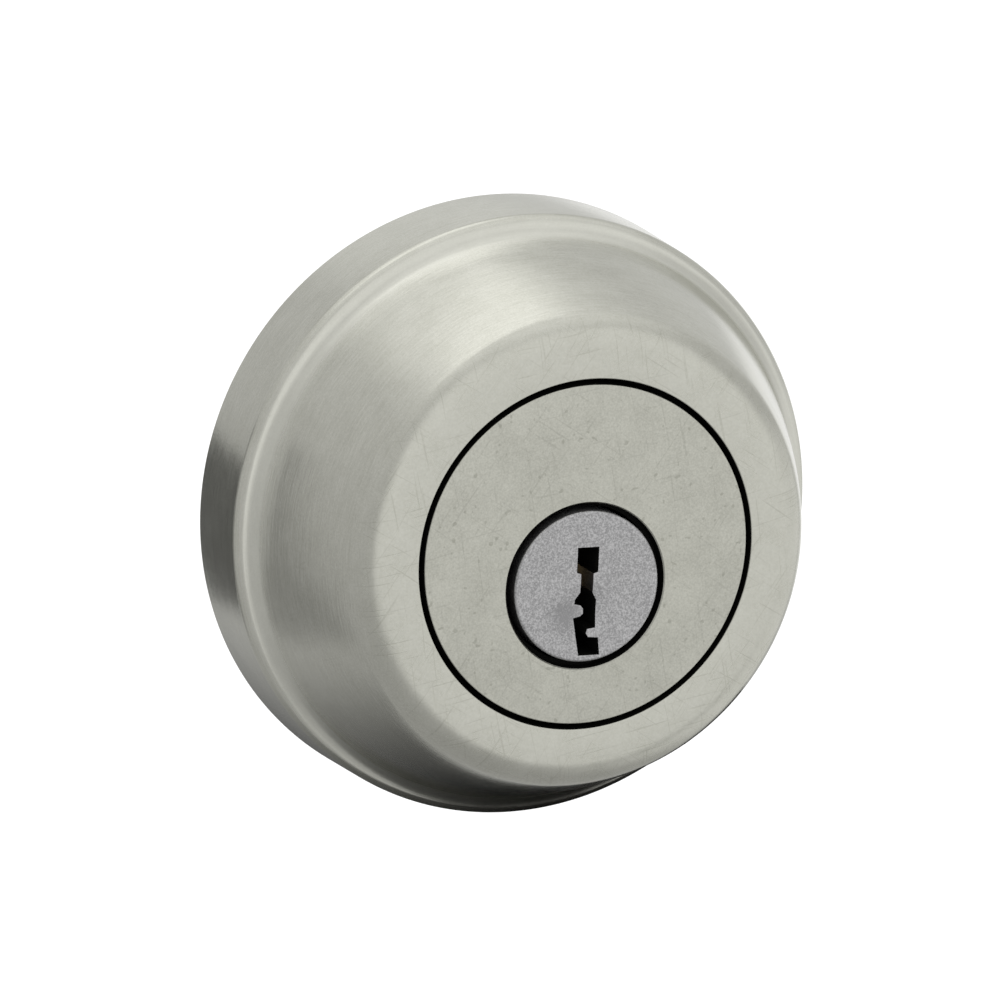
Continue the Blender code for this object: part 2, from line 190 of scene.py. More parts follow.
class Surface(Nodes):
    """A material's tree with one Principled BSDF, filled by a finish."""

    def __init__(self, name: str) -> None:
        """Make an empty material of that name."""
        self.material = bpy.data.materials.new(name)
        self.material.use_nodes = True
        super().__init__(self.material.node_tree)
        self.shader = self.tree.nodes["Principled BSDF"]

    def place(self) -> tuple[Value, Value, Value]:
        """Return the point's x, y and z in the model's frame."""
        here = self.node("ShaderNodeTexCoord").outputs["Object"]
        split = self.node("ShaderNodeSeparateXYZ", inputs={"Vector": Value(self, here)})
        x, y, z = (Value(self, output) for output in split.outputs)
        return x, y, z

    def vector(self, x: Term, y: Term, z: Term) -> Value:
        """Return a vector made of three values."""
        made = self.node("ShaderNodeCombineXYZ", inputs={0: x, 1: y, 2: z})
        return Value(self, made.outputs[0])

    def spot(self, scale: float) -> Value:
        """Return the point's place, with so many units to the metre."""
        x, y, z = self.place()
        return self.vector(x * scale, y * scale, z * scale)

    def noise(self, where: Value, detail: float = 2.0, rough: float = 0.5, w: Term | None = None) -> Value:
        """Return Perlin noise at a scaled place, about 0.5 on average.

        Args:
            where: The place, already scaled so that one unit is one lump.
            detail: How many octaves are added.
            rough: How strong each octave is against the one before it.
            w: A fourth coordinate, if the pattern needs one.

        Returns:
            The noise, from 0 to 1.
        """
        inputs: dict[str | int, Term] = {"Vector": where, "Scale": 1.0, "Detail": detail, "Roughness": rough}
        settings: dict[str, object] = {"noise_dimensions": "3D"}
        if w is not None:
            settings["noise_dimensions"] = "4D"
            inputs["W"] = w
        return Value(self, self.node("ShaderNodeTexNoise", settings, inputs).outputs[0])

    def lumps(self, scale: float, detail: float, rough: float = 0.5) -> Value:
        """Return noise with so many lumps to the metre."""
        return self.noise(self.spot(scale), detail, rough)

    def streaks(self, axis: Axis, scale: float, around: float, detail: float) -> Value:
        """Return noise drawn out round an axis, as brushing or turning leaves it.

        Args:
            axis: The axis that the tool went round.
            scale: How many streaks lie across a metre.
            around: How often the streaks break, along each radian of the way round.
            detail: How many octaves are added.

        Returns:
            The noise, from 0 to 1.
        """
        x, y, z = self.place()
        up = z - axis.value
        radius = self.maths("SQRT", x * x + up * up + 1e-12)
        where = self.vector(radius * scale, y * -scale, x / radius * around)
        return self.noise(where, detail, w=up / radius * around)

    def mix(self, factor: Term, first: Term, second: Term) -> Value:
        """Return a colour between two colours."""
        made = self.node("ShaderNodeMix", {"data_type": "RGBA"}, {0: factor, 6: first, 7: second})
        return Value(self, made.outputs[2])

    def coat(
        self, base: Term, rough: Term, relief: Value | None = None, metallic: float = 1.0
    ) -> bpy.types.Material:
        """Fill the shader and return the material.

        Args:
            base: The base colour.
            rough: The roughness.
            relief: The height of the fine relief in metres, or None.
            metallic: How metallic the surface is.

        Returns:
            The finished material.
        """
        self.feed(self.shader.inputs["Base Color"], base)
        self.feed(self.shader.inputs["Roughness"], rough)
        self.feed(self.shader.inputs["Metallic"], metallic)
        if relief is not None:
            inputs: dict[str | int, Term] = {"Strength": 1.0, "Distance": 1.0, "Height": relief}
            bump = self.node("ShaderNodeBump", inputs=inputs)
            self.feed(self.shader.inputs["Normal"], Value(self, bump.outputs["Normal"]))
        return self.material


def colour(red: float, green: float, blue: float) -> Colour:
    """Return an opaque colour for a socket."""
    return red, green, blue, 1.0


# --------------------------------------------------------------------------------------------
# Finishes
# --------------------------------------------------------------------------------------------


@dataclass(frozen=True)
class Scratches:
    """Thin straight scratches that cross a flat face at a few angles."""

    lines: tuple[Point, ...] = ((12, 3.1), (57, 8.7), (101, 15.3), (148, 22.9))
    shortness: float = 150.0
    thinness: float = 5200.0
    bend: Point = (90.0, 5.0)
    threshold: Point = (0.70, 0.82)

    def mask(self, surface: Surface) -> Value:
        """Return a mask, 1 in the middle of a scratch."""
        x, _, z = surface.place()
        total: Value | None = None
        for turn_number, (degrees, seed) in enumerate(self.lines):
            angle = math.radians(degrees)
            along = x * math.cos(angle) + z * math.sin(angle)
            across = z * math.cos(angle) - x * math.sin(angle)
            bend = surface.noise(surface.vector(along * self.bend[0], seed, 0.0), detail=0.0)
            across = across * self.thinness + bend * self.bend[1]
            line = surface.vector(along * self.shortness, across, seed + turn_number)
            thin = surface.map_range(surface.noise(line, detail=0.0), *self.threshold)
            total = thin if total is None else total + thin
        return surface.maths("MINIMUM", total, 1.0)


@dataclass(frozen=True)
class BrushedNickel:
    """Satin nickel plate, brushed round the lock's axis, with a painted sheen on its ledge and a flat front.
    """

    name: str = "brushed_nickel"
    light: Colour = colour(0.640, 0.640, 0.578)
    deep: Colour = colour(0.490, 0.490, 0.430)
    # Lighter colour of the painted sheen along the ledge: a painted highlight.
    ledge_sheen: Colour = colour(0.780, 0.780, 0.715)
    rough: float = 0.20
    groove: float = 0.12 * MM
    groove_breaks: float = 13.0
    groove_depth: float = 0.0050 * MM
    band: float = 0.28 * MM
    band_breaks: float = 6.0
    band_depth: float = 0.0085 * MM
    front: Point = (24.9 * MM, 26.7 * MM)
    ledge_rise: Point = (9.6 * MM, 10.4 * MM)
    ledge_fall: Point = (11.0 * MM, 12.4 * MM)
    scratch_depth: float = 0.004 * MM
    cloud_depth: float = 0.02 * MM
    grain_depth: float = 0.0014 * MM

    def make(self) -> bpy.types.Material:
        """Return the material: fine grooves, cloudy roughness, a painted sheen on the ledge and stray
        scratches.
        """
        surface = Surface(self.name)
        grooves = surface.streaks(Axis.LOCK, 1.0 / self.groove, self.groove_breaks, 1.0)
        bands = surface.streaks(Axis.LOCK, 1.0 / self.band, self.band_breaks, 2.0)
        cloud = surface.lumps(260.0, 5.0, 0.62)
        grain = surface.lumps(4200.0, 1.0)
        height = surface.place()[1] * -1.0
        front = surface.map_range(height, *self.front)
        above = surface.map_range(height, *self.ledge_fall)
        # The ledge band: it gets the painted sheen in its colour and a little more roughness.
        ledge = surface.map_range(height, *self.ledge_rise) * (1 - above)
        brushed = 1 - front * 0.92
        scratches = Scratches().mask(surface) * (front * 0.85 + 0.15)
        streaks = (bands - 0.5) * 0.5 + (grooves - 0.5) * 0.7
        tone = streaks * brushed + (cloud - 0.5) * 0.9 + (grain - 0.5) * 0.7 + 0.5 - scratches * 0.4
        plated = surface.mix(tone, self.deep, self.light)
        rough = (bands - 0.5) * brushed * 0.10 + (cloud - 0.5) * 0.10 + front * 0.08 + ledge * 0.12
        relief = (grooves * self.groove_depth + bands * self.band_depth) * brushed
        relief = relief - scratches * self.scratch_depth + cloud * self.cloud_depth + grain * self.grain_depth
        # Painted sheen: the ledge band's colour is mixed towards the lighter sheen colour.
        return surface.coat(surface.mix(ledge * 0.42, plated, self.ledge_sheen), rough + self.rough, relief)


@dataclass(frozen=True)
class SatinFace:
    """Satin nickel on a flat face: cloudy, with specks and fine crossing scratches."""

    name: str = "satin_face"
    light: Colour = colour(0.570, 0.570, 0.506)
    deep: Colour = colour(0.430, 0.430, 0.378)
    speck: Colour = colour(0.20, 0.20, 0.16)
    speck_size: Point = (0.76, 0.82)
    rough: float = 0.30

    def make(self) -> bpy.types.Material:
        """Return the material."""
        surface = Surface(self.name)
        cloud = surface.lumps(220.0, 5.0, 0.62)
        grain = surface.lumps(5200.0, 1.0)
        specks = surface.map_range(surface.lumps(1700.0, 0.0), *self.speck_size)
        scratches = Scratches().mask(surface)
        blend = (cloud - 0.5) * 1.5 + (grain - 0.5) * 1.4 + 0.5 - scratches * 0.26
        tone = surface.mix(blend, self.deep, self.light)
        rough = (cloud - 0.5) * 0.18 + scratches * 0.10 + self.rough
        relief = grain * (0.0010 * MM) + cloud * (0.006 * MM) - scratches * (0.0016 * MM)
        return surface.coat(surface.mix(specks * 0.32, tone, self.speck), rough, relief)


@dataclass(frozen=True)
class BlastedPlug:
    """Grey, sparkling plate on a blasted plug face, with painted shade in the scoop beside the keyway."""

    name: str = "blasted_plug"
    light: Colour = colour(0.575, 0.572, 0.574)
    deep: Colour = colour(0.305, 0.303, 0.306)
    rough: float = 0.42
    grain: float = 0.19 * MM
    # Centre and reach of the painted shade in the scoop beside the keyway.
    shade_spot: Point = (-2.3 * MM, -6.3 * MM)
    shade_reach: Point = (0.2 * MM, 2.7 * MM)

    def make(self) -> bpy.types.Material:
        """Return the material."""
        surface = Surface(self.name)
        spot = surface.spot(1.0 / self.grain)
        grains = surface.noise(spot, detail=2.0, rough=0.7)
        cells = surface.node("ShaderNodeTexVoronoi", inputs={"Vector": spot, "Scale": 0.8})
        facet = Value(surface, cells.outputs["Distance"])
        cloud = surface.lumps(500.0, 3.0)
        x, _, z = surface.place()
        left, up = x - self.shade_spot[0], z - self.shade_spot[1]
        away = surface.maths("SQRT", left * left + up * up)
        # Painted shade: the plate is darkened round a spot beside the keyway, in the scoop's hollow.
        painted_shade = 1 - surface.map_range(away, *self.shade_reach)
        tone = surface.map_range(grains, 0.30, 0.72) - painted_shade * 0.62
        relief = grains * (0.010 * MM) + facet * (0.006 * MM)
        rough = (cloud - 0.5) * 0.2 + self.rough
        return surface.coat(surface.mix(tone, self.deep, self.light), rough, relief)


@dataclass(frozen=True)
class PlainMetal:
    """A machined or pressed metal with faint marks of its making."""

    name: str
    light: Colour
    deep: Colour
    rough: float
    lump: float = 1.2 * MM

    def make(self) -> bpy.types.Material:
        """Return the material: cloudy colour, tool marks round the axis and a fine grain."""
        surface = Surface(self.name)
        cloud = surface.lumps(1.0 / self.lump, 4.0, 0.6)
        grain = surface.lumps(3500.0, 1.0)
        marks = surface.streaks(Axis.LOCK, 7000.0, 3.0, 1.0)
        relief = grain * (0.0015 * MM) + marks * (0.0011 * MM)
        tone = surface.mix(cloud, self.deep, self.light)
        return surface.coat(tone, (cloud - 0.5) * 0.22 + self.rough, relief)


@dataclass(frozen=True)
class RecessShade:
    """Painted shade for faces deep in a gap: a near-black, dull plate where little light reaches."""

    name: str = "painted_recess_shade"

    def make(self) -> bpy.types.Material:
        """Return the material."""
        surface = Surface(self.name)
        cloud = surface.lumps(900.0, 3.0)
        # The colour is painted shade: near black, with faint cloudy variation.
        tone = surface.mix(cloud, colour(0.005, 0.005, 0.004), colour(0.014, 0.014, 0.012))
        return surface.coat(tone, cloud * 0.2 + 0.7, metallic=0.8)


class Finish(Enum):
    """The finishes on the lock. Each is made once."""

    NICKEL = BrushedNickel()
    FACE = SatinFace()
    PLUG = BlastedPlug()
    # Painted shade for faces in gaps, the plug's mouth and its keyway.
    RECESS_SHADE = RecessShade()
    ZINC = PlainMetal("zinc_plate", colour(0.74, 0.75, 0.77), colour(0.58, 0.60, 0.63), 0.30, lump=3 * MM)
    STEEL = PlainMetal("hard_steel", colour(0.42, 0.42, 0.43), colour(0.30, 0.30, 0.31), 0.36)
    BRASS = PlainMetal("turned_brass", colour(0.40, 0.30, 0.16), colour(0.26, 0.19, 0.09), 0.36)
    WIRE = PlainMetal("spring_wire", colour(0.58, 0.58, 0.60), colour(0.44, 0.44, 0.46), 0.26)

    def material(self) -> bpy.types.Material:
        """Return the finish's material, made at its first use."""
        return bpy.data.materials.get(self.value.name) or self.value.make()


# --------------------------------------------------------------------------------------------
# Modelling by hand
# --------------------------------------------------------------------------------------------


@dataclass(frozen=True)
class Corner:
    """One corner of a turned profile: its distance from the axis, its height and its rounding."""

    radius: float
    height: float
    fillet: float = 0.0


def swell(first: Point, last: Point, rise: float, count: int) -> list[Corner]:
    """Return the points between two ends of a shallow arc.

    Args:
        first: The arc's first end, as (radius, height).
        last: Its last end.
        rise: How far the arc's middle stands out from the chord, away from the axis.
        count: How many points lie between the ends.

    Returns:
        The points, without the ends.
    """
    start, end = Vector(first), Vector(last)
    chord = end - start
    outward = Vector((-chord.y, chord.x)).normalized()
    if outward.x < 0:
        outward.negate()
    points = []
    for i in range(1, count + 1):
        share = i / (count + 1)
        here = start + chord * share + outward * rise * 4 * share * (1 - share)
        points.append(Corner(here.x, here.y))
    return points


def round_corners(corners: Sequence[Corner], ring: bool) -> list[Point]:
    """Return the profile's points with each fillet drawn as an arc.

    Args:
        corners: The profile's corners in order.
        ring: True if the profile closes on itself.

    Returns:
        The points, as (radius, height).
    """
    points: list[Point] = []
    for i, corner in enumerate(corners):
        here = Vector((corner.radius, corner.height))
        if not corner.fillet or (not ring and i in (0, len(corners) - 1)):
            points.append((here.x, here.y))
            continue
        before = corners[i - 1]
        after = corners[(i + 1) % len(corners)]
        back = (Vector((before.radius, before.height)) - here).normalized()
        ahead = (Vector((after.radius, after.height)) - here).normalized()
        half = math.acos(max(-1.0, min(1.0, back.dot(ahead)))) / 2
        reach = corner.fillet / math.tan(half)
        centre = here + (back + ahead).normalized() * (corner.fillet / math.sin(half))
        start = (here + back * reach - centre).normalized()
        end = (here + ahead * reach - centre).normalized()
        count = max(3, math.ceil(math.degrees(math.pi - 2 * half) / 7.5))
        for step in range(count + 1):
            points.append(tuple(centre + start.slerp(end, step / count) * corner.fillet))
    return points


def select_nothing() -> None:
    """Leave edit mode and deselect every object."""
    if bpy.context.mode != "OBJECT":
        bpy.ops.object.mode_set(mode="OBJECT")
    bpy.ops.object.select_all(action="DESELECT")


def named(name: str) -> bpy.types.Object:
    """Name the object that was just added, with its place in its mesh, and return it."""
    made = bpy.context.active_object
    made.name = name
    made.data.name = name
    bpy.ops.object.transform_apply(location=True, rotation=True, scale=True)
    return made


def clean(made: bpy.types.Object, sharp_degrees: float = 32.0) -> bpy.types.Object:
    """Merge doubles, turn the faces outwards, and shade round surfaces smooth."""
    select_nothing()
    bpy.context.view_layer.objects.active = made
    made.select_set(True)
    bpy.ops.object.mode_set(mode="EDIT")
    bpy.ops.mesh.select_all(action="SELECT")
    bpy.ops.mesh.remove_doubles(threshold=WELD)
    bpy.ops.mesh.normals_make_consistent(inside=False)
    bpy.ops.object.mode_set(mode="OBJECT")
    bpy.ops.object.shade_smooth_by_angle(angle=math.radians(sharp_degrees))
    return made


def draw(name: str, outline: Sequence[Vector]) -> bpy.types.Object:
    """Draw a line of edges from point to point, and stay in edit mode with all of it selected."""
    select_nothing()
    bpy.ops.mesh.primitive_plane_add(size=MM, location=outline[0])
    made = named(name)
    bpy.ops.object.mode_set(mode="EDIT")
    bpy.ops.mesh.merge(type="CENTER")
    for here, there in zip(outline, outline[1:]):
        bpy.ops.mesh.extrude_region_move(TRANSFORM_OT_translate={"value": there - here})
    bpy.ops.mesh.select_all(action="SELECT")
    bpy.ops.mesh.remove_doubles(threshold=WELD)
    return made


def turn(
    name: str, corners: Sequence[Corner], axis: Axis, steps: int = 128, ring: bool = True, x: float = 0.0
) -> bpy.types.Object:
    """Draw a profile and spin it round an axis that runs front to back.

    Args:
        name: The piece's name.
        corners: Its profile. Without ring, both ends lie on the axis.
        axis: The axis that it turns about.
        steps: Facets round the full circle.
        ring: True for a profile that closes on itself.
        x: How far right of the axis the piece turns.

    Returns:
        The piece.
    """
    outline = [Vector((x + r, -h, axis.value)) for r, h in round_corners(corners, ring)]
    made = draw(name, [*outline, outline[0].copy()] if ring else outline)
    bpy.ops.mesh.spin(steps=steps, angle=2 * math.pi, center=(x, 0.0, axis.value), axis=(0, 1, 0))
    bpy.ops.object.mode_set(mode="OBJECT")
    return clean(made)


def raise_outline(
    name: str, points: Sequence[Point], top: float, bottom: float, axis: Axis = Axis.LOCK
) -> bpy.types.Object:
    """Draw a flat outline across the lock's face and extrude it between two heights.

    Args:
        name: The piece's name.
        points: The outline, as (x, z) from the axis.
        top: The greater height.
        bottom: The lesser height.
        axis: The axis that the outline is measured from.

    Returns:
        The piece.
    """
    outline = [Vector((x, -bottom, axis.value + z)) for x, z in points]
    made = draw(name, [*outline, outline[0]])
    bpy.ops.mesh.edge_face_add()
    bpy.ops.mesh.extrude_region_move(TRANSFORM_OT_translate={"value": (0, bottom - top, 0)})
    bpy.ops.object.mode_set(mode="OBJECT")
    return clean(made)


def rod(
    name: str, radius: float, top: float, bottom: float, centre: Point = (0.0, 0.0), steps: int = 64
) -> bpy.types.Object:
    """Add a cylinder that stands on the door's plane, between two heights."""
    select_nothing()
    bpy.ops.mesh.primitive_cylinder_add(
        vertices=steps,
        radius=radius,
        depth=top - bottom,
        location=(centre[0], -(top + bottom) / 2, centre[1]),
        rotation=(math.pi / 2, 0, 0),
    )
    return named(name)


def chamber(number: int, low: float, high: float) -> bpy.types.Object:
    """Add the upright drill that cuts one pin chamber, between two levels z."""
    select_nothing()
    bpy.ops.mesh.primitive_cylinder_add(
        vertices=32,
        radius=CHAMBER_RADIUS,
        depth=high - low,
        location=(0, -(FIRST_CHAMBER - number * CHAMBER_PITCH), (high + low) / 2),
    )
    return named(f"chamber_{number}")


def block(
    name: str, x_range: Point, z_range: Point, height_range: Point, round_edges: float = 0.0
) -> bpy.types.Object:
    """Add a box between two x, two z and two heights, its edges bevelled if asked."""
    size = (x_range[1] - x_range[0], height_range[1] - height_range[0], z_range[1] - z_range[0])
    centre = (sum(x_range) / 2, -sum(height_range) / 2, sum(z_range) / 2)
    select_nothing()
    bpy.ops.mesh.primitive_cube_add(size=1.0, location=centre, scale=size)
    made = named(name)
    if round_edges:
        bpy.ops.object.mode_set(mode="EDIT")
        bpy.ops.mesh.select_all(action="SELECT")
        bpy.ops.mesh.bevel(offset=round_edges, segments=3)
        bpy.ops.object.mode_set(mode="OBJECT")
    return made


def combine(target: bpy.types.Object, tool: bpy.types.Object, operation: str) -> None:
    """Cut a tool from the target or join it on, and remove the tool."""
    select_nothing()
    bpy.context.view_layer.objects.active = target
    target.select_set(True)
    modifier = target.modifiers.new(tool.name, "BOOLEAN")
    modifier.operation = operation
    modifier.solver = "EXACT"
    modifier.object = tool
    bpy.ops.object.modifier_apply(modifier=modifier.name)
    bpy.data.objects.remove(tool, do_unlink=True)


def bevel_edges(made: bpy.types.Object, width: float, degrees: float = 40.0, segments: int = 2) -> None:
    """Round a piece's sharp edges with an applied Bevel modifier."""
    select_nothing()
    bpy.context.view_layer.objects.active = made
    made.select_set(True)
    bevel = made.modifiers.new("Edges", "BEVEL")
    bevel.width = width
    bevel.segments = segments
    bevel.limit_method = "ANGLE"
    bevel.angle_limit = math.radians(degrees)
    bpy.ops.object.modifier_apply(modifier=bevel.name)


def dress(
    made: bpy.types.Object, finish: Finish, second: Finish | None = None,
    where: Callable[[bpy.types.MeshPolygon], bool] | None = None,
) -> None:
    """Give a piece its finish, and a second one on the faces that a test picks."""
    made.data.materials.clear()
    made.data.materials.append(finish.material())
    if second is None or where is None:
        return
    made.data.materials.append(second.material())
    for face in made.data.polygons:
        if where(face):
            face.material_index = 1


def hand_over(made: bpy.types.Object, body: str, node: str) -> bpy.types.Object:
    """Ride a finished piece on its body, in place of its CAD node."""
    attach(made, body)
    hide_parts(node)
    LOG.info("%s: %d faces, on %s", made.name, len(made.data.polygons), body)
    return made


def arc_points(centre: Point, radius: float, start: float, end: float, count: int) -> list[Point]:
    """Return points along an arc, with its angles in degrees."""
    angles = [math.radians(start + (end - start) * i / (count - 1)) for i in range(count)]
    return [(centre[0] + radius * math.cos(a), centre[1] + radius * math.sin(a)) for a in angles]


def half_width(node: str) -> float:
    """Return half a CAD node's width along x."""
    low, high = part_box(node)
    return (high.x - low.x) / 2


def heights(node: str) -> Point:
    """Return the heights of a CAD node's front and back."""
    low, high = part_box(node)
    return -low.y, -high.y


def deliver(made: bpy.types.Object, finish: Finish, body: str, node: str) -> bpy.types.Object:
    """Give a piece one finish and hand it over."""
    dress(made, finish)
    return hand_over(made, body, node)


# --------------------------------------------------------------------------------------------
# The lock's pieces
# --------------------------------------------------------------------------------------------


@dataclass
class Collar:
    """Tapered trim collar: rim wall, rounded shoulder, ledge, swelling taper and rounded front."""

    rim_radius: float = field(default_factory=lambda: half_width("tapered_collar"))
    ends: Point = field(default_factory=lambda: heights("tapered_collar"))
    shoulder: Point = (32.77 * MM, 10.15 * MM)
    shoulder_rounding: float = 1.25 * MM
    ledge_end: Point = (30.98 * MM, 10.50 * MM)
    ledge_rounding: float = 1.9 * MM
    taper_start: Point = (29.98 * MM, 13.0 * MM)
    taper_end: Point = (26.10 * MM, 23.45 * MM)
    taper_swell: float = 0.17 * MM
    front_corner: float = 24.55 * MM
    front_rounding: float = 3.3 * MM
    hole_radius: float = 18.74 * MM
    flange_radius: float = 16.4 * MM
    flange: Point = (23.3 * MM, 21.3 * MM)
    rim_wall: float = 2.0 * MM
    steps: int = 256

    def profile(self) -> list[Corner]:
        """Return the collar's closed profile, down its outside and back up its inside."""
        face, foot = self.ends
        return [
            Corner(self.hole_radius, face, 0.12 * MM),
            Corner(self.front_corner, face, self.front_rounding),
            Corner(*self.taper_end),
            *swell(self.taper_end, self.taper_start, self.taper_swell, 14),
            Corner(*self.taper_start),
            Corner(*self.ledge_end, self.ledge_rounding),
            Corner(*self.shoulder, self.shoulder_rounding),
            Corner(self.rim_radius, foot, 0.10 * MM),
            Corner(self.rim_radius - self.rim_wall, foot, 0.3 * MM),
            Corner(30.9 * MM, 7.5 * MM, 0.8 * MM),
            Corner(28.6 * MM, 11.9 * MM, 2.0 * MM),
            Corner(25.0 * MM, self.flange[1], 1.0 * MM),
            Corner(self.flange_radius, self.flange[1], 0.2 * MM),
            Corner(self.flange_radius, self.flange[0], 0.2 * MM),
            Corner(self.hole_radius, self.flange[0]),
        ]

    def build(self) -> None:
        """Build and dress the collar."""
        made = turn("collar_shell", self.profile(), Axis.LOCK, self.steps)
        deep = self.ends[0] - 0.35 * MM

        def in_gap(face: bpy.types.MeshPolygon) -> bool:
            """Return whether a face lines the gap round the face disc."""
            away = math.hypot(face.center.x, face.center.z)
            return away < self.hole_radius + 0.1 * MM and -face.center.y < deep

        # Faces lining the gap round the face disc get painted shade.
        dress(made, Finish.NICKEL, Finish.RECESS_SHADE, in_gap)
        hand_over(made, "collar", "tapered_collar")


@dataclass
class CylinderBody:
    """Cast housing: face disc, hub, barrel with its pin ridge, and two wings."""

    disc_radius: float = 18.13 * MM
    face: float = field(default_factory=lambda: heights("cylinder_body")[0])
    back: float = field(default_factory=lambda: heights("cylinder_body")[1])
    disc_bottom: float = 23.8 * MM
    hub_radius: float = 15.9 * MM
    hub_bottom: float = 19.0 * MM
    barrel_radius: float = 11.2 * MM
    ridge: Point = (4.0 * MM, 14.6 * MM)
    bore_radius: float = 8.4 * MM
    mouth_radius: float = 8.9 * MM
    mouth_depth: float = 1.6 * MM
    wing_reach: float = 24.0 * MM
    wing_half_height: float = 5.0 * MM
    wing_heights: Point = (12.0 * MM, 8.0 * MM)
    chamber_levels: Point = (2.0 * MM, 18.0 * MM)
    cover_slot: Point = (2.5 * MM, 22.6 * MM)

    def casting(self) -> bpy.types.Object:
        """Return the solid casting, with nothing bored in it yet."""
        disc = [
            Corner(0.0, self.face),
            Corner(self.disc_radius, self.face, 0.12 * MM),
            Corner(self.disc_radius, self.disc_bottom, 0.2 * MM),
            Corner(self.hub_radius, self.disc_bottom, 0.2 * MM),
            Corner(self.hub_radius, self.hub_bottom, 0.4 * MM),
            Corner(0.0, self.hub_bottom),
        ]
        made = turn("lock_cylinder_body", disc, Axis.LOCK, 192, ring=False)
        barrel = [
            Corner(0.0, self.hub_bottom + 1 * MM),
            Corner(self.barrel_radius, self.hub_bottom + 1 * MM),
            Corner(self.barrel_radius, self.back, 0.5 * MM),
            Corner(0.0, self.back),
        ]
        combine(made, turn("barrel", barrel, Axis.PLUG, 96, ring=False), "UNION")
        half, top = self.ridge
        ridge = block("ridge", (-half, half), (0.0, top), (self.back, self.hub_bottom + 1 * MM), 0.3 * MM)
        combine(made, ridge, "UNION")
        reach = self.wing_reach - self.wing_half_height
        wing = arc_points((reach, 0.0), self.wing_half_height, -90, 90, 25)
        wing += arc_points((-reach, 0.0), self.wing_half_height, 90, 270, 25)
        combine(made, raise_outline("wings", wing, *self.wing_heights), "UNION")
        return made

    def bore(self, made: bpy.types.Object) -> None:
        """Cut the plug's bore and mouth, the pin chambers and the holes for pins and posts."""
        mouth_edge = 0.12 * MM
        tool = [
            Corner(0.0, self.face + 2 * MM),
            Corner(self.mouth_radius + mouth_edge + 2 * MM, self.face + 2 * MM),
            Corner(self.mouth_radius, self.face - mouth_edge),
            Corner(self.mouth_radius, self.face - self.mouth_depth),
            Corner(self.bore_radius, self.face - self.mouth_depth),
            Corner(self.bore_radius, 0.0),
            Corner(0.0, 0.0),
        ]
        combine(made, turn("plug_bore", tool, Axis.PLUG, 128, ring=False), "DIFFERENCE")
        half, front = self.cover_slot
        slot = block("cover_slot", (-half, half), (self.ridge[1], 20 * MM), (0.0, front))
        combine(made, slot, "DIFFERENCE")
        for number in range(CHAMBERS):
            combine(made, chamber(number, *self.chamber_levels), "DIFFERENCE")
        for x in (-DRILL_PIN_X, DRILL_PIN_X):
            hole = rod("drill_pin_hole", 1.8 * MM, 24.6 * MM, 10 * MM, (x, Axis.PLUG.value), 32)
            combine(made, hole, "DIFFERENCE")
        for x in (-POST_X, POST_X):
            combine(made, rod("stub_hole", 3.0 * MM, 14 * MM, 6 * MM, (x, 0.0), 32), "DIFFERENCE")

    def build(self) -> None:
        """Build, bore and dress the body."""
        made = self.casting()
        self.bore(made)
        clean(made)

        def hidden(face: bpy.types.MeshPolygon) -> bool:
            """Return whether a face lies behind the face disc or in the plug's mouth."""
            across = math.hypot(face.center.x, face.center.z - Axis.PLUG.value)
            deep = -face.center.y < self.face - 0.3 * MM
            return deep and (across < self.mouth_radius + 0.3 * MM or -face.center.y > self.disc_bottom)

        # Faces behind the face disc and in the plug's mouth get painted shade.
        dress(made, Finish.FACE, Finish.RECESS_SHADE, hidden)
        hand_over(made, "housing", "cylinder_body")


